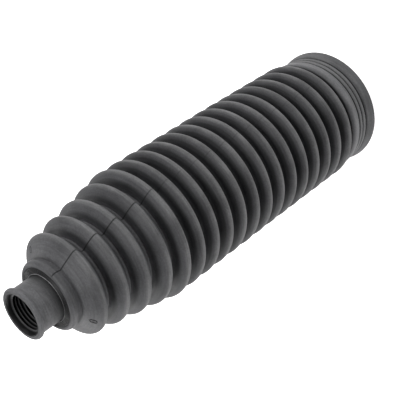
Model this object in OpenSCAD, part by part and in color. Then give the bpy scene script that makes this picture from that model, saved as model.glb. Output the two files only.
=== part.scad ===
// Rubber bellows boot for a steering rack, moulded in one piece.
// It stands on its large end: +Z runs along the axis towards the small end, and Z = 0 is the large end's face.
// The wall is one closed outline, revolved. The outline is a belt drawn tight round a chain of corner circles,
// so every crest, root and edge is one entry of that chain: [radius of centre, height of centre, rounding].
// A positive rounding bulges out of the rubber and a negative one is a hollow in it.

/* [Large end] */
// Bore that seats on the rack housing
large_bore_d = 52; // [46:0.5:54]
// Depth of that bore, from the face to the stop inside
large_bore_l = 15.4; // [10:0.2:17]
// Chamfer at the bore's mouth
large_chamfer = 0.9; // [0.3:0.1:1.5]
// Height of the stop inside, in from the bore to the back of the last valley
stop_h = 3.1; // [1.6:0.1:4]
// Wall of the cuff under the clamp seat
cuff_wall = 1.9; // [1.4:0.1:2.6]
// Height of the rim above the clamp seat
rim_h = 1.1; // [0.6:0.1:1.6]
// Rounding of the rim's outer edge
rim_r = 0.7; // [0.3:0.1:1]
// Length of the plain band between the rim and the clamp seat
band_l = 5.2; // [3:0.2:5.4]
// Height of the edges on both sides of the clamp seat
band_h = 0.35; // [0.1:0.05:0.6]
// Grip ridges on the clamp seat
seat_ridges = 2; // [1:1:2]
// Distance from one ridge to the next
seat_ridge_pitch = 2.75; // [2.5:0.05:3]
// Length of the land on top of a ridge
seat_ridge_land = 1; // [0.4:0.1:1.1]
// Depth of the grooves beside the ridges
seat_groove_depth = 0.55; // [0.2:0.05:0.7]
// Distance from a groove to the edge of the band or of the shoulder beside it
seat_groove_edge = 0.95; // [0.7:0.05:1.1]
// Height of the cuff's rounded shoulder above the clamp seat
shoulder_h = 0.65; // [0.3:0.05:1]
// Distance of the shoulder's middle from the face
shoulder_z = 15.9; // [15:0.1:17]
// Rounding of the shoulder
shoulder_r = 2; // [1.2:0.1:2.2]
// Length of the cuff, from the face to the root of the last valley
cuff_l = 18.9; // [18.4:0.1:22]

/* [Folds] */
// Folds of equal diameter on the body
body_folds = 14; // [6:1:20]
// Distance between two crests on the body
body_pitch = 8.84; // [8:0.02:12]
// Distance from the root beside the cuff to the first crest
first_rise = 3.9; // [3.6:0.1:5]
// Diameter over the crests on the body
body_od = 59.6; // [58:0.2:66]
// Folds on the part that narrows towards the small end
cone_folds = 4; // [2:1:6]
// Distance between two crests there
cone_pitch = 9.93; // [8.5:0.01:13]
// Diameter over the first fold, beside the small end
first_fold_od = 44.6; // [40:0.2:52]
// Depth of a valley below the crests beside it
fold_depth = 5.5; // [4:0.1:6.5]
// Bulge of a fold's front flank, the one that faces the small end
flank_bulge = 0.45; // [0.2:0.05:0.6]
// Rounding of a crest
crest_r = 1.2; // [1.1:0.1:1.8]
// Length of the land on top of a crest
crest_land = 0.2; // [0.1:0.1:0.8]
// Rounding of a root
root_r = 0.4; // [0.2:0.05:0.7]
// Length of the land at the bottom of a root
root_land = 0.5; // [0.1:0.1:0.8]
// Wall of the folds
fold_wall = 1.4; // [1:0.1:1.5]

/* [Collar] */
// Diameter of the collar ring between the neck and the first fold
collar_od = 30.4; // [29.6:0.1:32]
// Length of the collar, from its front to the crease behind it
collar_l = 4.25; // [4.05:0.05:5]
// Rounding of the collar's front edge
collar_front_r = 1.75; // [1.2:0.05:1.8]
// Rounding of the collar's rear edge
collar_rear_r = 1.8; // [1:0.1:2]
// Depth of the crease behind the collar
crease_depth = 0.6; // [0.4:0.05:1.2]
// Length of the first fold's sloping front, from the crease to its crest
front_slope_l = 5.65; // [5.2:0.05:8]
// Bulge of that slope
front_slope_bulge = 0.25; // [0.2:0.05:0.5]
// Distance of the collar's front behind the neck's foot
collar_set_back = 0.15; // [0.15:0.05:0.4]
// Fine rings on the flat cone that joins the neck to the collar
cone_rings = 5; // [2:1:6]
// Height of a fine ring
cone_ring_h = 0.2; // [0.1:0.02:0.24]
// Height of the collar's plain face, from that cone to the rounding of the collar's edge
collar_face_h = 0.5; // [0.3:0.1:1]
// Length of that cone along the neck
ring_cone_l = 0.15; // [0.1:0.05:0.15]

/* [Small end] */
// Bore of the small end, between its sealing ribs
small_bore_d = 17.5; // [15:0.1:17.8]
// Depth of that bore, from the lip to the flare inside
small_bore_l = 11.8; // [11:0.2:13]
// Diameter of the opening at the lip
mouth_d = 17.9; // [17.6:0.1:18.4]
// Depth of the chamfer between the opening and the bore
mouth_l = 0.5; // [0.3:0.1:1.4]
// Sealing ribs inside the bore
rib_count = 4; // [2:1:5]
// Distance from one rib to the next
rib_pitch = 1.45; // [1.3:0.05:1.8]
// Height of a rib above the bore
rib_h = 1; // [0.4:0.05:1.1]
// Length of the land on top of a rib
rib_land = 0.2; // [0.1:0.05:0.5]
// Depth of the first rib's middle below the lip
rib_start = 2.3; // [2.1:0.1:3.2]
// Wall of the neck at its clamp seat
neck_wall = 1.35; // [1.2:0.05:1.9]
// Length of the neck, from the collar's face to the lip
neck_l = 12; // [11:0.1:15]
// Height of the lip's bead above the clamp seat
lip_h = 1; // [0.6:0.05:1.2]
// Rounding of the lip's bead
lip_r = 1; // [0.8:0.1:1.3]

/* [Hidden] */
// Largest angle between two points of a broad arc and of a tight one, and the radius that divides them
broad_arc_step = 22;
tight_arc_step = 40;
broad_arc_from = 0.8;
// Angle that no corner of the outline turns by
most_turn = 270;
// Least rounding inside a crest, where the wall is thicker than the crest's own rounding
least_inner_r = 0.1;
// Roundings: grooves, ridges, band, mouth, fine rings, flare inside the neck, crease, and the neck before the lip
groove_r = 0.2;
ridge_r = 0.5;
band_r = 0.5;
mouth_r = 0.25;
ring_edge_r = 0.08;
flare_r = 1;
crease_r = 0.4;
neck_step_r = 0.5;
// Share of a rib's height by which each of its sides leans, and of the broadest rounding that a flank takes
rib_side = 0.3;
flank_share = 0.9;
// Share of the fine rings' pitch between a ring's side and the middle of its top or of the hollow beside it
ring_quarter = 0.25;
// Share of the rings' pitch that the rounding of their edges stays under
ring_edge_share = 0.2;

large_bore_r = large_bore_d / 2;
seat_r = large_bore_r + cuff_wall;
rim_od_r = seat_r + rim_h;
small_bore_r = small_bore_d / 2;
neck_r = small_bore_r + neck_wall;
lip_od_r = neck_r + lip_h;
collar_r = collar_od / 2;
body_r = body_od / 2;
first_fold_r = first_fold_od / 2;
// Radius lost from one fold to the next on the narrowing part
cone_step = (body_r - first_fold_r) / cone_folds;

// Heights of the main stations
body_z = cuff_l + first_rise;
cone_z = body_z + body_folds * body_pitch;
crease_z = cone_z + (cone_folds - 1) * cone_pitch + front_slope_l;
collar_front_z = crease_z + collar_l;
neck_foot_z = collar_front_z + collar_set_back;
total_l = neck_foot_z + neck_l;

// A corner circle whose outermost or, for a hollow, innermost point lies at the given radius.
function at_radius(radius, height, rounding) = [radius - rounding, height, rounding];

// The two corner circles of a crest or root with a land of the given length, in rising order.
function land(radius, height, rounding, length) = [
    at_radius(radius, height - length / 2, rounding),
    at_radius(radius, height + length / 2, rounding)
];

// Direction in which the belt between two corner circles faces.
function facing(a, b) =
    let (run = [b[0] - a[0], b[1] - a[1]])
    atan2(run[1], run[0]) - acos((a[2] - b[2]) / norm(run));

// Angle turned on a corner circle, left for a bulge and right for a hollow.
function turned(from, to, rounding) =
    let (turn = ((to - from) % 360 + 360) % 360)
    rounding >= 0 ? turn : turn - 360;

// Points of the belt on one corner circle, between its two neighbours.
function arc_points(before, corner, after) =
    corner[2] == 0 ? [[corner[0], corner[1]]] :
    let (
        from = facing(before, corner),
        turn = turned(from, facing(corner, after), corner[2]),
        step = abs(corner[2]) < broad_arc_from ? tight_arc_step : broad_arc_step,
        pieces = max(1, ceil(abs(turn) / step))
    )
    [for (i = [0 : pieces]) let (a = from + turn * i / pieces)
        [corner[0] + corner[2] * cos(a), corner[1] + corner[2] * sin(a)]];

// Neighbours of corner i in a closed chain.
function before(chain, i) = chain[i == 0 ? len(chain) - 1 : i - 1];
function after(chain, i) = chain[i == len(chain) - 1 ? 0 : i + 1];

// Whether the belt bends round corner i. One that it passes straight by would be looped round instead.
function is_touched(chain, i) =
    let (
        corner = chain[i],
        from = facing(before(chain, i), corner),
        to = facing(corner, after(chain, i))
    )
    corner[2] == 0 || abs(turned(from, to, corner[2])) < most_turn;

// The whole belt as one closed outline.
function belt(chain) =
    let (tight = [for (i = [0 : len(chain) - 1]) if (is_touched(chain, i)) chain[i]])
    [for (i = [0 : len(tight) - 1]) each arc_points(before(tight, i), tight[i], after(tight, i))];

// A chain followed on the wall's inner face, in falling order.
function inner_face(chain, wall) =
    [for (i = [len(chain) - 1 : -1 : 0]) let (c = chain[i])
        [c[0], c[1], c[2] > 0 ? -max(c[2] - wall, least_inner_r) : wall - c[2]]];

// Crest radius and height of fold i, counted from the large end.
function fold_r(i) = i < body_folds ? body_r : body_r - (i - body_folds + 1) * cone_step;
function fold_z(i) = i < body_folds ? body_z + i * body_pitch : cone_z + (i - body_folds) * cone_pitch;

// Root before fold i: it lies halfway to the fold below it. The first forms the stop at the cuff's end.
function root_radius(i) = i == 0 ?
    large_bore_r - stop_h + fold_wall :
    (fold_r(i - 1) + fold_r(i)) / 2 - fold_depth;
function root_z(i) = i == 0 ? cuff_l : (fold_z(i - 1) + fold_z(i)) / 2;

// Corner circle that bulges a flank by the given height between the crest before it and the hollow after it.
// Its rounding is a share of the broadest that still lies on the belt between the two.
function bulge_between(crest, hollow, bulge) =
    let (
        a = facing(crest, hollow),
        run = norm([crest[0] - hollow[0], crest[1] - hollow[1]]),
        half_sq = (run ^ 2 - (crest[2] - hollow[2]) ^ 2) / 4,
        rounding = flank_share * (half_sq + bulge ^ 2) / (2 * bulge) + hollow[2],
        middle = [crest[0] + hollow[0], crest[1] + hollow[1]] / 2,
        out = (crest[2] + hollow[2]) / 2 + bulge - rounding
    )
    [middle[0] + out * cos(a), middle[1] + out * sin(a), rounding];

// Folds from the large end to the small end: a root, a crest and a bulged front flank for each.
folds = body_folds + cone_folds;
crease = at_radius(collar_r - crease_depth, crease_z, -crease_r);
function root(i) = land(root_radius(i), root_z(i), -root_r, root_land);
function fold_chain() = [
    for (i = [0 : folds - 1])
        let (crest = land(fold_r(i), fold_z(i), crest_r, crest_land))
        each concat(
            root(i),
            crest,
            [i == folds - 1 ?
                bulge_between(crest[1], crease, front_slope_bulge) :
                bulge_between(crest[1], root(i + 1)[0], flank_bulge)]
        ),
    crease
];

// Clamp seat of the cuff: narrow grooves with a flat grip ridge between each two.
groove_z = band_l + seat_groove_edge;
shoulder_edge_z = groove_z + seat_ridges * seat_ridge_pitch + seat_groove_edge;
function seat_chain() = [
    for (i = [0 : seat_ridges])
        let (z = groove_z + i * seat_ridge_pitch)
        each concat(
            [at_radius(seat_r - seat_groove_depth, z, -groove_r)],
            i == seat_ridges ? [] : land(seat_r, z + seat_ridge_pitch / 2, ridge_r, seat_ridge_land)
        )
];

// Outside of the cuff from the rim to the last valley.
function cuff_chain() = concat(
    [[rim_od_r - rim_r, rim_r, rim_r], at_radius(seat_r + band_h, band_l - band_r, band_r)],
    seat_chain(),
    [
        at_radius(seat_r + band_h, shoulder_edge_z + band_r, band_r),
        at_radius(seat_r + shoulder_h, shoulder_z, shoulder_r)
    ]
);

// The ringed cone fills the rest of the collar's front. Next come a point on it, raised by the given height,
// and its rings.
ring_cone_h = collar_r - collar_front_r - collar_face_h - neck_r;
ring_cone_side = norm([ring_cone_h, ring_cone_l]);
function on_ring_cone(share, height) = [
    neck_r + ring_cone_h * share + height * ring_cone_l / ring_cone_side,
    neck_foot_z - ring_cone_l * share + height * ring_cone_h / ring_cone_side
];
ring_shares = cone_rings + ring_quarter;
ring_edge = min(ring_edge_r, ring_edge_share * ring_cone_side / ring_shares);
function ring_chain() = [
    for (i = [cone_rings - 1 : -1 : 0])
        each [
            concat(on_ring_cone((i + 1 + ring_quarter) / ring_shares, ring_edge), -ring_edge),
            concat(on_ring_cone((i + 1 - ring_quarter) / ring_shares, cone_ring_h - ring_edge), ring_edge)
        ]
];

// Collar from the crease behind it to the foot of the neck.
function collar_chain() = concat(
    [
        at_radius(collar_r, crease_z + crease_r + collar_rear_r, collar_rear_r),
        at_radius(collar_r, collar_front_z - collar_front_r, collar_front_r)
    ],
    ring_chain(),
    [at_radius(neck_r, neck_foot_z, -ring_edge)]
);

// Neck with its clamp seat, the lip's bead and the opening.
function lip_chain() = [
    at_radius(neck_r, total_l - 2 * lip_r - neck_step_r, -neck_step_r),
    at_radius(lip_od_r, total_l - lip_r, lip_r),
    [mouth_d / 2 + mouth_r, total_l - mouth_r, mouth_r],
    [small_bore_r, total_l - mouth_l, 0]
];

// Sealing ribs inside the small end, from the lip down. Each has a cylindrical land.
function rib_chain() = [
    for (i = [0 : rib_count - 1])
        let (z = total_l - rib_start - i * rib_pitch, foot = rib_land / 2 + rib_h * rib_side)
        each [
            [small_bore_r, z + foot, 0],
            [small_bore_r - rib_h, z + rib_land / 2, 0],
            [small_bore_r - rib_h, z - rib_land / 2, 0],
            [small_bore_r, z - foot, 0]
        ]
];

// Inside of the neck's foot, the inner faces of the folds, and the bore of the large end.
function inside_chain() = concat(
    [[small_bore_r + flare_r, total_l - small_bore_l - flare_r, flare_r]],
    inner_face(fold_chain(), fold_wall),
    [
        [large_bore_r, large_bore_l, 0],
        [large_bore_r, large_chamfer, 0],
        [large_bore_r + large_chamfer, 0, 0]
    ]
);

module bellows_boot() {
    color("#3b3c3e")
        rotate_extrude($fn = 128)
            polygon(belt(concat(
                cuff_chain(),
                fold_chain(),
                collar_chain(),
                lip_chain(),
                rib_chain(),
                inside_chain()
            )));
}

bellows_boot();
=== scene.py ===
"""Looks of a moulded rubber bellows boot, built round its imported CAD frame.

The boot is one closed outline, spun round its axis. It stands on its large end, +Z is its axis, and the
camera looks down past its small end, as the product picture does.
"""

import logging
import math
from dataclasses import dataclass, field
from enum import Enum
from typing import Any, Sequence

import bpy
from mathutils import Matrix, Vector, noise
from mathutils.kdtree import KDTree


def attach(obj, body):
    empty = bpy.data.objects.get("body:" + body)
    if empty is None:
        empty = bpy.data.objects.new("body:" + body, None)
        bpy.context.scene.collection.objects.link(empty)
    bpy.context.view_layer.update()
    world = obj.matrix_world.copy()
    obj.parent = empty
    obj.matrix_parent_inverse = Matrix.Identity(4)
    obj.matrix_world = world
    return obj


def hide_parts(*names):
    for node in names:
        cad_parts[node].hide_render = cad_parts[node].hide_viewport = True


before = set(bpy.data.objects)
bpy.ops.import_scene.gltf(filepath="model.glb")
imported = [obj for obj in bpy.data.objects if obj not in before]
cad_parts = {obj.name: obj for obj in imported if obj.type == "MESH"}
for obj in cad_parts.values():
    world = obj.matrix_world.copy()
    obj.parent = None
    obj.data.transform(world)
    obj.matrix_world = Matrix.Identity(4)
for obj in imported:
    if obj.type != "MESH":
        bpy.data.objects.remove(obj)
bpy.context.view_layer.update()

LOG = logging.getLogger("bellows_boot")
MM = 0.001
PICTURE_PIXELS = 400
# Attributes that the rubber's looks hang on, painted shade and highlights among them.
MARKS = ("crest", "depth", "root", "seam", "seam_shadow", "handled_and_lit", "groove", "inside")

# Pairs of height and value, in rising order.
Stops = tuple[tuple[float, float], ...]


class Side(Enum):
    """Which face of the rubber wall a part of the outline belongs to."""

    OUTER = "outer"
    INNER = "inner"


@dataclass(frozen=True)
class Corner:
    """One corner circle of the outline, in millimetres.

    A positive rounding bulges out of the rubber, a negative one is a hollow in it, and nought is sharp.
    """

    r: float
    z: float
    rounding: float
    side: Side = Side.OUTER


def at_radius(radius: float, height: float, rounding: float, side: Side = Side.OUTER) -> Corner:
    """Give the corner circle whose outermost, or for a hollow innermost, point lies at a radius.

    Args:
        radius: Distance of that point from the axis.
        height: Height of the circle's centre.
        rounding: Signed radius of the circle.
        side: Face of the wall that the corner belongs to.

    Returns:
        The corner.
    """
    return Corner(radius - rounding, height, rounding, side)


def land(radius: float, height: float, rounding: float, length: float) -> list[Corner]:
    """Give the two corners of a crest, root or ridge with a land on it, in rising order.

    Args:
        radius: Radius of the land.
        height: Height of its middle.
        rounding: Signed rounding of both corners.
        length: Length of the land.

    Returns:
        The two corners.
    """
    return [at_radius(radius, height + side * length / 2, rounding) for side in (-1, 1)]


def facing(a: Corner, b: Corner) -> float:
    """Give the direction in which the belt between two corner circles faces.

    Args:
        a: The circle that the belt leaves.
        b: The circle that it runs to.

    Returns:
        The angle of the outward normal, in radians.
    """
    run_r, run_z = b.r - a.r, b.z - a.z
    return math.atan2(run_z, run_r) - math.acos((a.rounding - b.rounding) / math.hypot(run_r, run_z))


def arc_points(before: Corner, corner: Corner, after: Corner, step: float) -> list[tuple[float, float]]:
    """Give the belt's points on one corner circle.

    Args:
        before: The corner that the belt comes from.
        corner: The corner itself.
        after: The corner that the belt goes to.
        step: Largest angle between two points, in radians.

    Returns:
        Points as (radius, height).
    """
    if corner.rounding == 0:
        return [(corner.r, corner.z)]
    start = facing(before, corner)
    turn = (facing(corner, after) - start) % math.tau
    if corner.rounding < 0:
        turn -= math.tau
    pieces = max(1, math.ceil(abs(turn) / step))
    return [
        (
            corner.r + corner.rounding * math.cos(start + turn * i / pieces),
            corner.z + corner.rounding * math.sin(start + turn * i / pieces),
        )
        for i in range(pieces + 1)
    ]


def spread(z: float, stops: Stops) -> float:
    """Read a value off a line through stops.

    Args:
        z: Height in millimetres.
        stops: The line's stops.

    Returns:
        The value at the height.
    """
    for (low, first), (high, second) in zip(stops, stops[1:]):
        if z <= high:
            return first + (second - first) * max(0.0, z - low) / (high - low)
    return stops[-1][1]


@dataclass(frozen=True)
class LargeEnd:
    """Sizes of the cuff that seats on the rack housing, in millimetres."""

    bore_r: float = 26.0
    bore_l: float = 15.4
    chamfer: float = 0.9
    seat_r: float = 27.9
    rim_r: float = 29.0
    rim_rounding: float = 0.7
    band_l: float = 5.2
    band_h: float = 0.35
    ridges: int = 2
    ridge_pitch: float = 2.75
    ridge_land: float = 1.0
    groove_depth: float = 0.55
    groove_edge: float = 0.95
    groove_rounding: float = 0.2
    ridge_rounding: float = 0.5
    edge_rounding: float = 0.5
    shoulder_h: float = 0.65
    shoulder_z: float = 15.9
    shoulder_rounding: float = 2.0

    def outside(self) -> list[Corner]:
        """Lay out the corners of the cuff's outside.

        Returns:
            Corners from the rim to the shoulder.
        """
        corners = [
            Corner(self.rim_r - self.rim_rounding, self.rim_rounding, self.rim_rounding),
            at_radius(self.seat_r + self.band_h, self.band_l - self.edge_rounding, self.edge_rounding),
        ]
        z = self.band_l + self.groove_edge
        for i in range(self.ridges + 1):
            corners.append(at_radius(self.seat_r - self.groove_depth, z, -self.groove_rounding))
            if i < self.ridges:
                middle = z + self.ridge_pitch / 2
                corners += land(self.seat_r, middle, self.ridge_rounding, self.ridge_land)
                z += self.ridge_pitch
        z += self.groove_edge + self.edge_rounding
        corners.append(at_radius(self.seat_r + self.band_h, z, self.edge_rounding))
        corners.append(at_radius(self.seat_r + self.shoulder_h, self.shoulder_z, self.shoulder_rounding))
        return corners

    def inside(self) -> list[Corner]:
        """Lay out the corners of the bore.

        Returns:
            Corners from the stop down to the face.
        """
        return [
            Corner(self.bore_r, self.bore_l, 0, Side.INNER),
            Corner(self.bore_r, self.chamfer, 0, Side.INNER),
            Corner(self.bore_r + self.chamfer, 0, 0, Side.INNER),
        ]


@dataclass(frozen=True)
class Folds:
    """Sizes of the convoluted wall, in millimetres."""

    start_z: float = 22.8
    body_count: int = 14
    body_pitch: float = 8.84
    body_r: float = 29.8
    cone_count: int = 4
    cone_pitch: float = 9.93
    first_r: float = 22.3
    depth: float = 5.5
    bulge: float = 0.45
    front_bulge: float = 0.25
    bulge_share: float = 0.9
    crest_rounding: float = 1.2
    crest_land: float = 0.2
    root_rounding: float = 0.4
    root_land: float = 0.5
    wall: float = 1.4
    least_inner_rounding: float = 0.1
    first_root_r: float = 24.3
    first_root_z: float = 18.9

    @property
    def count(self) -> int:
        """Number of folds."""
        return self.body_count + self.cone_count

    def crest_r(self, i: int) -> float:
        """Radius of crest i, counted from the large end."""
        step = (self.body_r - self.first_r) / self.cone_count
        return self.body_r - max(0, i - self.body_count + 1) * step

    def crest_z(self, i: int) -> float:
        """Height of crest i."""
        over = max(0, i - self.body_count)
        return self.start_z + (i - over) * self.body_pitch + over * self.cone_pitch

    def root_r(self, i: int) -> float:
        """Radius of the root before crest i."""
        middle = (self.crest_r(max(0, i - 1)) + self.crest_r(i)) / 2
        return self.first_root_r if i == 0 else middle - self.depth

    def root_z(self, i: int) -> float:
        """Height of the root before crest i."""
        return self.first_root_z if i == 0 else (self.crest_z(i - 1) + self.crest_z(i)) / 2

    def bulge_between(self, crest: Corner, hollow: Corner, bulge: float) -> Corner:
        """Give the broad corner that bulges a front flank.

        Args:
            crest: The corner before it.
            hollow: The corner after it.
            bulge: Height of the bulge.

        Returns:
            The corner in the flank's middle.
        """
        a = facing(crest, hollow)
        run = math.hypot(crest.r - hollow.r, crest.z - hollow.z)
        half_sq = (run**2 - (crest.rounding - hollow.rounding) ** 2) / 4
        rounding = self.bulge_share * (half_sq + bulge**2) / (2 * bulge) + hollow.rounding
        out = (crest.rounding + hollow.rounding) / 2 + bulge - rounding
        return Corner(
            (crest.r + hollow.r) / 2 + out * math.cos(a),
            (crest.z + hollow.z) / 2 + out * math.sin(a),
            rounding,
        )

    def root(self, i: int) -> list[Corner]:
        """Give the two corners of the root before crest i."""
        return land(self.root_r(i), self.root_z(i), -self.root_rounding, self.root_land)

    def outside(self, crease: Corner) -> list[Corner]:
        """Give the corners of all folds.

        Args:
            crease: The hollow behind the collar, where the last front flank ends.

        Returns:
            Corners from the large end to the crease.
        """
        corners: list[Corner] = []
        for i in range(self.count):
            crest = land(self.crest_r(i), self.crest_z(i), self.crest_rounding, self.crest_land)
            if i + 1 < self.count:
                bulge = self.bulge_between(crest[1], self.root(i + 1)[0], self.bulge)
            else:
                bulge = self.bulge_between(crest[1], crease, self.front_bulge)
            corners += self.root(i) + crest + [bulge]
        return corners + [crease]

    def inside(self, outside: Sequence[Corner]) -> list[Corner]:
        """Give the wall's inner face, a wall's thickness behind the outer one.

        Args:
            outside: The outer face's corners.

        Returns:
            Corners in falling order.
        """
        corners: list[Corner] = []
        for corner in reversed(outside):
            rounding = self.wall - corner.rounding
            if corner.rounding > 0:
                rounding = -max(corner.rounding - self.wall, self.least_inner_rounding)
            corners.append(Corner(corner.r, corner.z, rounding, Side.INNER))
        return corners


@dataclass(frozen=True)
class SmallEnd:
    """Sizes of the collar, the neck and its ribbed bore, in millimetres."""

    total_l: float = 198.4
    bore_r: float = 8.75
    bore_l: float = 11.8
    mouth_r: float = 8.95
    mouth_l: float = 0.5
    mouth_rounding: float = 0.25
    ribs: int = 4
    rib_pitch: float = 1.45
    rib_h: float = 1.0
    rib_side: float = 0.3
    rib_land: float = 0.2
    rib_start: float = 2.3
    rib_rounding: float = 0.08
    flare_rounding: float = 1.0
    neck_r: float = 10.1
    neck_l: float = 12.0
    neck_step_rounding: float = 0.5
    lip_r: float = 11.1
    lip_rounding: float = 1.0
    collar_r: float = 15.2
    collar_l: float = 4.25
    collar_front_rounding: float = 1.75
    collar_rear_rounding: float = 1.8
    collar_set_back: float = 0.15
    crease_depth: float = 0.6
    crease_rounding: float = 0.4
    rings: int = 5
    ring_quarter: float = 0.25
    ring_h: float = 0.2
    ring_cone_h: float = 2.85
    ring_cone_l: float = 0.15
    ring_rounding: float = 0.08

    @property
    def foot_z(self) -> float:
        """Height of the neck's foot."""
        return self.total_l - self.neck_l

    @property
    def front_z(self) -> float:
        """Height of the collar's front."""
        return self.foot_z - self.collar_set_back

    @property
    def crease(self) -> Corner:
        """The hollow behind the collar."""
        height = self.front_z - self.collar_l
        return at_radius(self.collar_r - self.crease_depth, height, -self.crease_rounding)

    def on_cone(self, share: float, height: float, rounding: float) -> Corner:
        """Give a corner on the small ringed cone between the neck and the collar.

        Args:
            share: Place on the cone, from 0 at the neck to 1 at the collar.
            height: Height of the circle's centre above the cone.
            rounding: The corner's rounding.

        Returns:
            The corner.
        """
        side = math.hypot(self.ring_cone_h, self.ring_cone_l)
        return Corner(
            self.neck_r + self.ring_cone_h * share + height * self.ring_cone_l / side,
            self.foot_z - self.ring_cone_l * share + height * self.ring_cone_h / side,
            rounding,
        )

    def outside(self) -> list[Corner]:
        """Lay out the corners of the collar, its fine rings and the neck.

        Returns:
            Corners from behind the collar to the mouth.
        """
        rear = self.crease.z + self.crease_rounding + self.collar_rear_rounding
        corners = [
            at_radius(self.collar_r, rear, self.collar_rear_rounding),
            at_radius(self.collar_r, self.front_z - self.collar_front_rounding, self.collar_front_rounding),
        ]
        shares = self.rings + self.ring_quarter
        for i in reversed(range(self.rings)):
            hollow, top = (i + 1 + self.ring_quarter) / shares, (i + 1 - self.ring_quarter) / shares
            corners.append(self.on_cone(hollow, self.ring_rounding, -self.ring_rounding))
            corners.append(self.on_cone(top, self.ring_h - self.ring_rounding, self.ring_rounding))
        step = self.total_l - 2 * self.lip_rounding - self.neck_step_rounding
        return corners + [
            at_radius(self.neck_r, self.foot_z, -self.ring_rounding),
            at_radius(self.neck_r, step, -self.neck_step_rounding),
            at_radius(self.lip_r, self.total_l - self.lip_rounding, self.lip_rounding),
        ]

    def inside(self) -> list[Corner]:
        """Lay out the corners of the bore and its sealing ribs.

        Returns:
            Corners from the mouth down to the flare behind the bore.
        """
        edge = self.mouth_rounding
        corners = [
            Corner(self.mouth_r + edge, self.total_l - edge, edge, Side.INNER),
            Corner(self.bore_r, self.total_l - self.mouth_l, 0, Side.INNER),
        ]
        foot = self.rib_land / 2 + self.rib_h * self.rib_side
        crest_r = self.bore_r - self.rib_h + self.rib_rounding
        for i in range(self.ribs):
            z = self.total_l - self.rib_start - i * self.rib_pitch
            corners += [
                Corner(self.bore_r, z + foot, 0, Side.INNER),
                Corner(crest_r, z + self.rib_land / 4, self.rib_rounding, Side.INNER),
                Corner(crest_r, z - self.rib_land / 4, self.rib_rounding, Side.INNER),
                Corner(self.bore_r, z - foot, 0, Side.INNER),
            ]
        flare = self.flare_rounding
        corners.append(Corner(self.bore_r + flare, self.total_l - self.bore_l - flare, flare, Side.INNER))
        return corners


@dataclass(frozen=True)
class PartingLine:
    """The two raised seams where the halves of the mould met, in millimetres and degrees."""

    # The first seam runs 22 degrees beside the meridian nearest the camera, which is at -90.
    first_deg: float = -68.0
    width_deg: float = 0.36
    columns: int = 2
    height: float = 0.06
    reach: tuple[float, float] = (18.0, 185.9)
    # How close to a seam's middle a vertex counts as lying on it.
    middle_deg: float = 0.05


@dataclass(frozen=True)
class Slack:
    """How the soft wall departs from round and straight, in millimetres."""

    bow: tuple[float, float] = (0.63, -1.0)
    unevenness: float = 0.12
    # Waves of that unevenness in a metre, across the boot and along it.
    waves_across: float = 38.0
    waves_along: float = 60.0
    # Heights between which the wall is loose, and how far it takes to loosen there.
    loose_z: tuple[float, float] = (22.0, 180.0)
    loosens_over: tuple[float, float] = (30.0, 20.0)


@dataclass(frozen=True)
class Wear:
    """How far handling greys the rubber, and how much painted shade and painted highlight it gets, as
    shares, with lengths in millimetres.
    """

    # How strongly the parting line's painted shadow shows, by height.
    seam_shadow: Stops = (
        (0.0, 0.0), (18.0, 0.1), (30.0, 0.25), (130.0, 0.3), (146.0, 1.0), (185.9, 1.0), (186.3, 0.0),
    )
    # How far hands have greyed the rubber, by height, with painted light added that lifts the shade at the
    # neck's foot and lightens the lip's edge.
    handled_and_lit: Stops = (
        (0.0, 0.14), (5.2, 0.07), (6.0, 0.2), (16.0, 0.27), (20.0, 0.0), (140.0, 0.0), (165.0, 0.04),
        (181.0, 0.07), (186.2, 0.07), (186.5, 0.4), (196.0, 0.12), (198.4, 0.16),
    )
    # How early the valleys' painted shade reaches up the flanks, by height.
    dusk: Stops = ((0.0, 1.0), (20.0, 1.9), (125.0, 1.9), (150.0, 1.05))
    # Depth below the line over the crests at which a valley's painted shade is at its darkest.
    darkest_depth: float = 6.0
    # Distance along the axis in which a crest's painted highlight fades, and how much of it the cuff's edges
    # get.
    crest_reach: float = 2.0
    edge_highlight: float = 0.45
    # Painted shade of the fine rings, and the distance from the neck beyond which they and the grooves get
    # full painted shade.
    ring_dark: float = 0.8
    dark_from: float = 0.15
    # Distances from the neck between which a ring gets a painted highlight, and the side on which the
    # highlight lies.
    bright_ring: tuple[float, float] = (0.2, 0.55)
    bright_deg: float = -45.0
    # How far the sealing ribs' crests share the painted shade of the bore.
    rib_crest: float = 0.95


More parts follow.
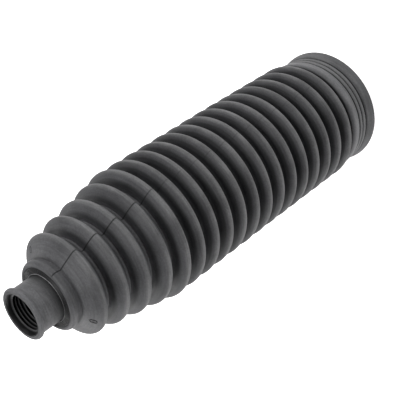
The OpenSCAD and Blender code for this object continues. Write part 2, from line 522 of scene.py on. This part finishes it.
@dataclass
class BellowsBoot:
    """The boot itself: one closed wall of rubber."""

    node: str
    large_end: LargeEnd = field(default_factory=LargeEnd)
    folds: Folds = field(default_factory=Folds)
    small_end: SmallEnd = field(default_factory=SmallEnd)
    seam: PartingLine = field(default_factory=PartingLine)
    slack: Slack = field(default_factory=Slack)
    wear: Wear = field(default_factory=Wear)
    outer_step: float = math.radians(12)
    inner_step: float = math.radians(40)
    half_turn_steps: int = 44
    merge_distance: float = 0.002
    smooth_deg: float = 38.0
    piece: bpy.types.Object | None = None

    def corners(self) -> list[Corner]:
        """Give the whole outline's corner circles.

        Returns:
            The closed chain, up the outside and down the inside.
        """
        folds = self.folds.outside(self.small_end.crease)
        return (
            self.large_end.outside()
            + folds
            + self.small_end.outside()
            + self.small_end.inside()
            + self.folds.inside(folds)
            + self.large_end.inside()
        )

    def outline(self) -> list[tuple[float, float, Corner]]:
        """Give the closed outline, point by point.

        Returns:
            Radius, height and the corner that the point lies on, in millimetres.
        """
        chain = self.corners()
        points: list[tuple[float, float, Corner]] = []
        for i, corner in enumerate(chain):
            step = self.outer_step if corner.side is Side.OUTER else self.inner_step
            around = arc_points(chain[i - 1], corner, chain[(i + 1) % len(chain)], step)
            points += [(r, z, corner) for r, z in around]
        return points

    def origins(self, outline: Sequence[tuple[float, float, Corner]]) -> list[Corner]:
        """Find the corner that each vertex of the round, straight wall lies on.

        Args:
            outline: The outline's points.

        Returns:
            One corner per vertex.
        """
        tree = KDTree(len(outline))
        for i, (r, z, _) in enumerate(outline):
            tree.insert((r, z, 0), i)
        tree.balance()
        return [
            outline[tree.find((vertex.co.xy.length / MM, vertex.co.z / MM, 0))[1]][2]
            for vertex in self.piece.data.vertices
        ]

    def build(self) -> bpy.types.Object:
        """Spin the outline into the wall, with a fine column of faces at each mould seam.

        Returns:
            The finished piece.
        """
        outline = self.outline()
        bpy.ops.object.select_all(action="DESELECT")
        bpy.ops.mesh.primitive_circle_add(
            vertices=len(outline), radius=self.folds.body_r * MM, fill_type="NOTHING"
        )
        self.piece = bpy.context.object
        self.piece.name = "boot"
        start = Matrix.Rotation(math.radians(self.seam.first_deg - self.seam.width_deg), 4, "Z")
        for vertex, (r, z, _) in zip(self.piece.data.vertices, outline):
            vertex.co = start @ Vector((r * MM, 0, z * MM))
        bpy.ops.object.mode_set(mode="EDIT")
        bpy.ops.mesh.select_all(action="SELECT")
        narrow = 2 * math.radians(self.seam.width_deg)
        turns = (self.seam.columns, narrow), (self.half_turn_steps, math.pi - narrow)
        for steps, angle in turns * 2:
            bpy.ops.mesh.spin(steps=steps, angle=angle, center=(0, 0, 0), axis=(0, 0, 1))
        bpy.ops.mesh.select_all(action="SELECT")
        bpy.ops.mesh.remove_doubles(threshold=self.merge_distance * MM)
        bpy.ops.mesh.normals_make_consistent(inside=False)
        bpy.ops.object.mode_set(mode="OBJECT")
        origins = self.origins(outline)
        self.mark(origins)
        self.raise_seams(origins)
        self.settle()
        bpy.ops.object.shade_smooth_by_angle(angle=math.radians(self.smooth_deg))
        LOG.info("boot: %d outline points, %d faces", len(outline), len(self.piece.data.polygons))
        return self.piece

    def raise_seams(self, origins: Sequence[Corner]) -> None:
        """Lift the middle column of vertices of each seam off the outer face.

        Args:
            origins: The corner that each vertex lies on.
        """
        low, high = self.seam.reach
        for vertex, corner in zip(self.piece.data.vertices, origins):
            angle = math.degrees(math.atan2(vertex.co.y, vertex.co.x))
            off = (angle - self.seam.first_deg + 90) % 180 - 90
            on_seam = abs(off) < self.seam.middle_deg and low < corner.z < high
            if on_seam and corner.side is Side.OUTER:
                vertex.co += vertex.normal * self.seam.height * MM

    def settle(self) -> None:
        """Give the soft wall its slight bow and the small unevenness of moulded folds."""
        slack, length = self.slack, self.small_end.total_l
        for vertex in self.piece.data.vertices:
            x, y, z = vertex.co
            height = z / MM
            loose = min(
                (height - slack.loose_z[0]) / slack.loosens_over[0],
                (slack.loose_z[1] - height) / slack.loosens_over[1],
            )
            spot = Vector((x * slack.waves_across, y * slack.waves_across, z * slack.waves_along))
            swell = noise.noise(spot) * max(0.0, min(1.0, loose)) * slack.unevenness
            sag = 4 * height * (length - height) / length**2
            vertex.co += Vector((x, y, 0)).normalized() * swell * MM
            vertex.co += Vector((*slack.bow, 0)) * sag * MM

    def mark(self, origins: Sequence[Corner]) -> None:
        """Store what the rubber's looks hang on, painted shade and highlights among them, while the wall is
        still round and straight.

        Args:
            origins: The corner that each vertex lies on.
        """
        mesh, wear = self.piece.data, self.wear
        marks: dict[str, list[float]] = {name: [] for name in MARKS}
        crests = [self.folds.crest_z(i) for i in range(self.folds.count)]
        tops = self.tops()
        for vertex, corner in zip(mesh.vertices, origins):
            r, z = vertex.co.xy.length / MM, vertex.co.z / MM
            angle = math.atan2(vertex.co.y, vertex.co.x)
            drop = max(0.0, spread(z, tops) - r) / wear.darkest_depth
            inner = corner.side is Side.INNER
            is_rib_crest = inner and corner.rounding == self.small_end.rib_rounding
            # Share of the painted highlight on the crests and the cuff's edges.
            marks["crest"].append(self.painted_highlight(z, corner, crests))
            # Share of the painted light that lifts the valleys' floors.
            marks["root"].append(min(1.0, drop))
            # Share of the valleys' painted shade.
            marks["depth"].append(min(1.0, drop * spread(z, wear.dusk)))
            marks["seam"].append(r * math.sin(angle - math.radians(self.seam.first_deg)))
            # How strongly the parting line's painted shadow shows.
            marks["seam_shadow"].append(spread(z, wear.seam_shadow))
            # Handling's grey, with painted light at the neck's foot and the lip's edge.
            marks["handled_and_lit"].append(spread(z, wear.handled_and_lit))
            # Painted shade of grooves and rings, and below nought a painted highlight.
            marks["groove"].append(self.groove(r, angle, corner))
            # Painted shade of the bore, with less on the ribs' crests.
            marks["inside"].append(wear.rib_crest if is_rib_crest else float(inner))
        for name, values in marks.items():
            mesh.attributes.new(name, "FLOAT", "POINT")
            mesh.attributes[name].data.foreach_set("value", values)

    def tops(self) -> Stops:
        """Give the line over the wall's high points.

        Returns:
            Height and radius of each, from the rim to the lip.
        """
        cuff, folds, neck = self.large_end, self.folds, self.small_end
        return (
            (0.0, cuff.rim_r),
            (cuff.shoulder_z, cuff.seat_r + cuff.shoulder_h),
            *((folds.crest_z(i), folds.crest_r(i)) for i in range(folds.count)),
            (neck.front_z - neck.collar_front_rounding, neck.collar_r),
            (neck.foot_z, neck.neck_r),
            (neck.total_l, neck.neck_r),
        )

    def painted_highlight(self, z: float, corner: Corner, crests: Sequence[float]) -> float:
        """Say how much painted highlight a point gets, as the crests and the cuff's edges do.

        Args:
            z: The point's height.
            corner: The corner that it lies on.
            crests: Heights of the crests.

        Returns:
            The share of the painted highlight.
        """
        cuff = self.large_end
        is_edge = corner.side is Side.OUTER and corner.rounding in (cuff.ridge_rounding, cuff.edge_rounding)
        if is_edge and z < cuff.shoulder_z:
            return self.wear.edge_highlight
        return max(0.0, 1 - min(abs(z - crest) for crest in crests) / self.wear.crest_reach)

    def groove(self, r: float, angle: float, corner: Corner) -> float:
        """Say how much painted shade a fine groove or ring gets.

        Args:
            r: The point's radius.
            angle: Its angle round the axis, in radians.
            corner: The corner that it lies on.

        Returns:
            The share of the painted shade, or below nought the share of the painted highlight on one side of
            the bright ring.
        """
        if corner.side is Side.INNER:
            return 0.0
        wear, off = self.wear, r - self.small_end.neck_r
        is_ring = abs(corner.rounding) == self.small_end.ring_rounding
        if is_ring and wear.bright_ring[0] < off < wear.bright_ring[1]:
            return -max(0.0, math.cos(angle - math.radians(wear.bright_deg))) ** 3
        if off > wear.dark_from and -self.large_end.groove_rounding <= corner.rounding < 0:
            return 1.0
        return wear.ring_dark if is_ring else 0.0


@dataclass(frozen=True)
class RaisedMark:
    """A small blank oval that the mould's insert leaves on the first fold, in millimetres and degrees."""

    name: str
    around_deg: float
    length: float
    # Share of the grooves' painted shade that the bead is painted with, for the shadow round it.
    shade: float
    r: float = 18.8
    z: float = 179.4
    # Direction of the fold's front flank there, outwards and upwards.
    slope: tuple[float, float] = (0.857, -0.515)
    width: float = 1.9
    bead: float = 0.42
    sunk: float = 0.05
    # A vertex that is closer than this to the oval's short axis keeps its place.
    middle: float = 0.001
    steps_round: int = 32
    steps_across: int = 10

    def build(self) -> bpy.types.Object:
        """Add the oval bead, lying on the fold's front flank.

        Returns:
            The finished piece.
        """
        bpy.ops.object.select_all(action="DESELECT")
        bpy.ops.mesh.primitive_torus_add(
            major_radius=(self.width - self.bead) / 2 * MM, minor_radius=self.bead / 2 * MM,
            major_segments=self.steps_round, minor_segments=self.steps_across,
        )
        piece = bpy.context.object
        piece.name = self.name
        stretch = (self.length - self.width) / 2 * MM
        for vertex in piece.data.vertices:
            if abs(vertex.co.x) > self.middle * MM:
                vertex.co.x += math.copysign(stretch, vertex.co.x)
        outwards, upwards = self.slope
        along = Vector((outwards, 0, upwards))
        out = Vector((-upwards, 0, outwards))
        axes = Matrix((along, out.cross(along), out)).transposed().to_4x4()
        seat = Vector((self.r * MM, 0, self.z * MM)) - out * self.sunk * MM
        turn = Matrix.Rotation(math.radians(self.around_deg), 4, "Z")
        piece.data.transform(turn @ Matrix.Translation(seat) @ axes)
        # The bead is painted with shade, for the shadow round it.
        shades = [self.shade] * len(piece.data.vertices)
        piece.data.attributes.new("groove", "FLOAT", "POINT")
        piece.data.attributes["groove"].data.foreach_set("value", shades)
        bpy.ops.object.shade_smooth()
        LOG.info("%s: %d faces", self.name, len(piece.data.polygons))
        return piece


def srgb(code: str) -> tuple[float, float, float, float]:
    """Turn an sRGB hex value into linear colour.

    Args:
        code: Colour such as "#2b2b2d".

    Returns:
        Linear red, green, blue and alpha.
    """
    parts = [int(code[i : i + 2], 16) / 255 for i in (1, 3, 5)]
    linear = [p / 12.92 if p <= 0.04045 else ((p + 0.055) / 1.055) ** 2.4 for p in parts]
    return (linear[0], linear[1], linear[2], 1.0)


def add_node(
    tree: bpy.types.NodeTree, kind: str, inputs: dict[Any, Any] | None = None, **settings: Any
) -> bpy.types.Node:
    """Add a node, set it and link it.

    Args:
        tree: The node tree.
        kind: The node's type name.
        inputs: Values or sockets to link, by the input's name or number.
        settings: Attributes of the node.

    Returns:
        The node.
    """
    node = tree.nodes.new(kind)
    for name, value in settings.items():
        setattr(node, name, value)
    for name, value in (inputs or {}).items():
        if isinstance(name, int):
            socket = node.inputs[name]
        else:
            socket = next(s for s in node.inputs if s.name == name and s.enabled)
        if isinstance(value, bpy.types.NodeSocket):
            tree.links.new(value, socket)
        else:
            socket.default_value = value
    return node


class Easing(Enum):
    """How a value changes between the ends of its span."""

    EVEN = "LINEAR"
    SOFT = "SMOOTHSTEP"


@dataclass(frozen=True)
class Fade:
    """A value that varies over the surface, led from one span to another and held at both ends."""

    value: str
    span: tuple[float, float] = (0.0, 1.0)
    to: tuple[float, float] = (0.0, 1.0)
    easing: Easing = Easing.SOFT


@dataclass(frozen=True)
class Coat:
    """A colour that lies over the ones before it, as far as the product of its fades says."""

    colour: str
    fades: tuple[Fade, ...]


# Middle part of a noise's values, over which it makes nearly all its change.
NOISE_SPAN = (0.3, 0.7)


@dataclass(frozen=True)
class MouldedRubber:
    """Black EPDM rubber, compression moulded: satin, nearly black, greyed where handled, with painted shade
    in its hollows and painted highlights on its crests and edges.
    """

    slot: str = "rubber"
    plain: str = "#404042"
    coats: tuple[Coat, ...] = (
        # Hands grey the cuff, the collar and the neck; the same coat adds painted light at the neck's foot,
        # where the collar shades it, and at the lip's edge.
        Coat("#9c9c9e", (Fade("handled_and_lit", easing=Easing.EVEN),)),
        # Painted shade darkens the valleys, and painted light lifts their floors.
        Coat("#242426", (Fade("depth", (0.35, 0.7)),)),
        Coat("#48484a", (Fade("root", (0.55, 0.9)),)),
        # Painted shade darkens the fine grooves and rings, and a painted highlight brightens one side of the
        # ring at the neck's foot.
        Coat("#161617", (Fade("groove"),)),
        Coat("#a2a2a4", (Fade("groove", (-0.9, 0.0), (1.0, 0.0)),)),
        # A pale, uneven band a few millimetres wide is painted along the crests as their highlight.
        Coat("#5a5a5b", (Fade("crest", (0.1, 0.7), (0.0, 0.9)), Fade("clouds", NOISE_SPAN, (0.7, 1.2)))),
        # The parting line's painted shadow shows outside as a dark line that is soft over 0.165 to 0.385 mm
        # off its middle.
        Coat(
            "#0c0c0d",
            (
                Fade("off_seam", (0.165, 0.385), (0.9, 0.0)),
                Fade("seam_shadow", easing=Easing.EVEN),
                Fade("inside", (0.0, 0.1), (1.0, 0.0)),
            ),
        ),
        # Painted shade darkens the bore, and the ribs' crests get less of it.
        Coat("#161617", (Fade("inside", (0.92, 1.0)),)),
    )
    # Smears and streaks run round the boot, from drawing it off the mould's core.
    lightness: tuple[Fade, ...] = (
        Fade("streaks", (0.25, 0.75), (0.8, 1.2)),
        Fade("clouds", NOISE_SPAN, (0.85, 1.15)),
        Fade("grain", NOISE_SPAN, (0.9, 1.1)),
    )
    roughness: tuple[Fade, ...] = (Fade("clouds", NOISE_SPAN, (0.45, 0.57)),)
    specular: float = 0.22
    index: float = 1.5
    # Clouds of bloom over a centimetre across, as rubber shows after months in a box.
    cloud_mm: float = 14.0
    # Grain left by the blasted mould, drawn coarser than the real tenth of a millimetre so that it shows.
    grain_mm: float = 0.7
    grain_strength: float = 0.12
    grain_height_mm: float = 0.05
    streak_mm: float = 0.8
    streak_l_mm: float = 12.0
    # Radius of the boot at which the streaks have that length.
    streak_r_mm: float = 25.0

    def material(self) -> bpy.types.Material:
        """Build the procedural material.

        Returns:
            The material.
        """
        material = bpy.data.materials.new("moulded_epdm_rubber")
        material.use_nodes = True
        tree = material.node_tree
        tree.nodes.clear()
        values = self.values(tree)
        base: Any = srgb(self.plain)
        for coat in self.coats:
            cover = self.product(tree, values, coat.fades)
            base = add_node(
                tree, "ShaderNodeMix", {"Factor": cover, "A": base, "B": srgb(coat.colour)}, data_type="RGBA"
            ).outputs["Result"]
        light = self.product(tree, values, self.lightness)
        shade = add_node(tree, "ShaderNodeCombineXYZ", {"X": light, "Y": light, "Z": light}).outputs[0]
        colour = add_node(
            tree, "ShaderNodeMix", {"Factor": 1.0, "A": base, "B": shade},
            data_type="RGBA", blend_type="MULTIPLY",
        ).outputs["Result"]
        bump = add_node(
            tree, "ShaderNodeBump",
            {
                "Height": values["grain"], "Strength": self.grain_strength,
                "Distance": self.grain_height_mm * MM,
            },
        ).outputs["Normal"]
        shader = add_node(
            tree, "ShaderNodeBsdfPrincipled",
            {
                "Base Color": colour, "Roughness": self.product(tree, values, self.roughness),
                "Normal": bump, "IOR": self.index, "Specular IOR Level": self.specular,
            },
        ).outputs["BSDF"]
        add_node(tree, "ShaderNodeOutputMaterial", {"Surface": shader})
        return material

    def values(self, tree: bpy.types.NodeTree) -> dict[str, bpy.types.NodeSocket]:
        """Add the pieces' marks and the noises that vary over the rubber.

        Args:
            tree: The node tree.

        Returns:
            The values by name.
        """
        place = add_node(tree, "ShaderNodeTexCoord").outputs["Object"]
        values = {
            name: add_node(tree, "ShaderNodeAttribute", attribute_name=name).outputs["Fac"] for name in MARKS
        }
        values["off_seam"] = add_node(
            tree, "ShaderNodeMath", {0: values["seam"]}, operation="ABSOLUTE"
        ).outputs[0]
        values["clouds"] = add_node(
            tree, "ShaderNodeTexNoise",
            {"Vector": place, "Scale": 1 / (self.cloud_mm * MM), "Detail": 4.0, "Roughness": 0.6},
        ).outputs["Fac"]
        values["grain"] = add_node(
            tree, "ShaderNodeTexNoise",
            {"Vector": place, "Scale": 1 / (self.grain_mm * MM), "Detail": 2.0, "Roughness": 0.5},
        ).outputs["Fac"]
        values["streaks"] = self.streaks(tree, place)
        return values

    @staticmethod
    def product(
        tree: bpy.types.NodeTree, values: dict[str, bpy.types.NodeSocket], fades: Sequence[Fade]
    ) -> bpy.types.NodeSocket:
        """Multiply fades with each other.

        Args:
            tree: The node tree.
            values: The values that vary over the rubber, by name.
            fades: One or more fades of them.

        Returns:
            The product.
        """
        parts = [
            add_node(
                tree, "ShaderNodeMapRange",
                {
                    "Value": values[fade.value], "From Min": fade.span[0], "From Max": fade.span[1],
                    "To Min": fade.to[0], "To Max": fade.to[1],
                },
                interpolation_type=fade.easing.value,
            ).outputs["Result"]
            for fade in fades
        ]
        result = parts[0]
        for part in parts[1:]:
            result = add_node(tree, "ShaderNodeMath", {0: result, 1: part}, operation="MULTIPLY").outputs[0]
        return result

    def streaks(self, tree: bpy.types.NodeTree, place: bpy.types.NodeSocket) -> bpy.types.NodeSocket:
        """Add a noise that is drawn out round the boot's axis.

        Args:
            tree: The node tree.
            place: The object's coordinates.

        Returns:
            The noise.
        """
        fine = 1 / (self.streak_mm * MM)
        flat = add_node(
            tree, "ShaderNodeVectorMath", {0: place, 1: (1, 1, 0)}, operation="MULTIPLY"
        ).outputs[0]
        radius = add_node(tree, "ShaderNodeVectorMath", {0: flat}, operation="LENGTH").outputs["Value"]
        turn = add_node(tree, "ShaderNodeVectorMath", {0: flat}, operation="NORMALIZE").outputs[0]
        turn = add_node(
            tree, "ShaderNodeVectorMath", {0: turn, "Scale": self.streak_r_mm / self.streak_l_mm},
            operation="SCALE",
        ).outputs[0]
        height = add_node(
            tree, "ShaderNodeVectorMath", {0: place, 1: (0, 0, fine)}, operation="MULTIPLY"
        ).outputs[0]
        spot = add_node(tree, "ShaderNodeVectorMath", {0: turn, 1: height}, operation="ADD").outputs[0]
        out = add_node(tree, "ShaderNodeMath", {0: radius, 1: fine}, operation="MULTIPLY").outputs[0]
        return add_node(
            tree, "ShaderNodeTexNoise",
            {"Vector": spot, "W": out, "Scale": 1.0, "Detail": 3.0, "Roughness": 0.65},
            noise_dimensions="4D",
        ).outputs["Fac"]


@dataclass(frozen=True)
class Camera:
    """The picture's camera: where the boot's axis lies in front of it, in millimetres and pixels.

    Camera axes are x to the right, y down and z forward, and the angles are in radians.
    """

    focal_px: float = 887.98
    mouth_px: tuple[float, float] = (21.442, 315.435)
    mouth_z: float = 328.78
    turn: float = -0.6074
    tilt: float = 0.6513
    boot_l: float = 198.4
    sensor_mm: float = 36.0
    # Nearest and farthest distance that it sees, in metres.
    clip: tuple[float, float] = (0.01, 20.0)

    @property
    def axis(self) -> Vector:
        """Direction from the small end to the large end, on the camera's axes."""
        flat = math.cos(self.tilt)
        return Vector((flat * math.cos(self.turn), flat * math.sin(self.turn), math.sin(self.tilt)))

    @property
    def mouth(self) -> Vector:
        """Place of the small end's mouth on the camera's axes."""
        half = PICTURE_PIXELS / 2
        u, v = self.mouth_px
        return Vector(((u - half) / self.focal_px, (v - half) / self.focal_px, 1)) * self.mouth_z

    def basis(self) -> Matrix:
        """Give the frame's axes on the camera's axes; the nearest meridian of the boot is -Y.

        Returns:
            The frame's X, Y and Z as rows.
        """
        up = -self.axis
        towards = -self.mouth.normalized()
        towards = (towards - towards.dot(up) * up).normalized()
        back = -towards
        right = back.cross(up)
        return Matrix((right, back, up))

    def place(self, point: Vector) -> Vector:
        """Give a camera-axes point, in millimetres, in the frame, in metres."""
        origin = self.mouth + self.axis * self.boot_l
        return self.basis() @ (point - origin) * MM

    def build(self) -> None:
        """Add the camera at the picture's viewing angle."""
        data = bpy.data.cameras.new("camera")
        data.sensor_width = self.sensor_mm
        data.lens = self.focal_px * self.sensor_mm / PICTURE_PIXELS
        data.clip_start, data.clip_end = self.clip
        camera = bpy.data.objects.new("camera", data)
        bpy.context.scene.collection.objects.link(camera)
        # A camera object looks along its own -Z, with +Y up.
        turn = self.basis() @ Matrix.Diagonal((1, -1, -1))
        camera.matrix_world = Matrix.Translation(self.place(Vector((0, 0, 0)))) @ turn.to_4x4()
        bpy.context.scene.camera = camera


@dataclass(frozen=True)
class SoftLight:
    """A broad, distant soft light, such as a soft box 0.4 m across and 1 m off."""

    name: str
    lean_deg: float
    around_deg: float
    strength: float
    spread_deg: float = 24.0

    def build(self) -> None:
        """Add the light, turned to the boot."""
        data = bpy.data.lights.new(self.name, "SUN")
        data.energy = math.pi * self.strength
        data.angle = math.radians(self.spread_deg)
        light = bpy.data.objects.new(self.name, data)
        bpy.context.scene.collection.objects.link(light)
        lean, around = math.radians(self.lean_deg), math.radians(self.around_deg)
        spot = Vector((math.sin(lean) * math.cos(around), math.sin(lean) * math.sin(around), math.cos(lean)))
        turn = (-spot).to_track_quat("-Z", "Y").to_matrix().to_4x4()
        light.matrix_world = Matrix.Translation(spot) @ turn


@dataclass(frozen=True)
class Studio:
    """A white floor in a white tent, with soft lights placed by their lean off the boot's axis."""

    floor_colour: str = "#f6f6f6"
    floor_roughness: float = 0.9
    tent_colour: str = "#ffffff"
    # Side of the floor and its gap under the boot, in metres.
    floor_size: float = 6.0
    floor_gap: float = 0.0003
    # Glow of the floor and the tent on the boot, and as the camera sees it.
    floor_glow: tuple[float, float] = (0.315, 0.9)
    tent_glow: tuple[float, float] = (0.0, 1.0)
    lights: tuple[SoftLight, ...] = (
        SoftLight("overhead", 0, 0, 0.45),
        SoftLight("key", 28, 292, 0.36),
        SoftLight("left", 48, 342, 0.12),
        SoftLight("left_low", 84, 345, 0.36),
        SoftLight("front", 84, 280, 0.15),
        SoftLight("back_left", 68, 60, 0.188),
        SoftLight("back", 68, 120, 0.365),
        SoftLight("right_low", 84, 165, 0.525),
    )

    def build(self) -> None:
        """Add the floor, the tent and the lights."""
        self.lay_floor()
        self.hang_tent()
        for light in self.lights:
            light.build()
        bpy.context.scene.view_settings.view_transform = "Standard"

    def lay_floor(self) -> None:
        """Add the floor, a hair under the boot's face, so that the two don't lie in one plane."""
        bpy.ops.object.select_all(action="DESELECT")
        bpy.ops.mesh.primitive_plane_add(size=self.floor_size, location=(0, 0, -self.floor_gap))
        floor = bpy.context.object
        floor.name = "floor"
        material = bpy.data.materials.new("white_floor")
        material.use_nodes = True
        tree = material.node_tree
        tree.nodes.clear()
        shader = add_node(
            tree, "ShaderNodeBsdfPrincipled",
            {
                "Base Color": srgb(self.floor_colour), "Roughness": self.floor_roughness,
                "Emission Color": srgb(self.tent_colour),
                "Emission Strength": self.glow(tree, self.floor_glow),
            },
        ).outputs["BSDF"]
        add_node(tree, "ShaderNodeOutputMaterial", {"Surface": shader})
        floor.data.materials.append(material)

    def hang_tent(self) -> None:
        """Add the white surroundings, which the camera sees and which give no light."""
        world = bpy.data.worlds.new("tent")
        bpy.context.scene.world = world
        world.use_nodes = True
        background = world.node_tree.nodes["Background"]
        background.inputs["Color"].default_value = srgb(self.tent_colour)
        world.node_tree.links.new(self.glow(world.node_tree, self.tent_glow), background.inputs["Strength"])

    @staticmethod
    def glow(tree: bpy.types.NodeTree, levels: tuple[float, float]) -> bpy.types.NodeSocket:
        """Give a brightness that differs for the boot and for the camera.

        Args:
            tree: The node tree.
            levels: Brightness that the boot is lit by, and that the camera sees.

        Returns:
            The brightness.
        """
        camera = add_node(tree, "ShaderNodeLightPath").outputs["Is Camera Ray"]
        return add_node(
            tree, "ShaderNodeMapRange", {"Value": camera, "To Min": levels[0], "To Max": levels[1]}
        ).outputs["Result"]


def main() -> None:
    """Build the boot, its camera and its light."""
    logging.basicConfig(level=logging.INFO, format="%(name)s: %(message)s")
    Camera().build()
    boot = BellowsBoot(node="bellows_boot")
    piece = boot.build()
    rubber = MouldedRubber()
    piece.data.materials.clear()
    piece.data.materials.append(rubber.material())
    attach(piece, "root")
    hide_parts(boot.node)
    for mark in (
        RaisedMark("raised_mark_1", around_deg=-156.5, length=3.3, shade=0.75),
        RaisedMark("raised_mark_2", around_deg=4.0, length=3.0, shade=1.0),
    ):
        oval = mark.build()
        oval.data.materials.append(piece.data.materials[0])
        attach(oval, "root")
    Studio().build()


if __name__ == "__main__":
    main()
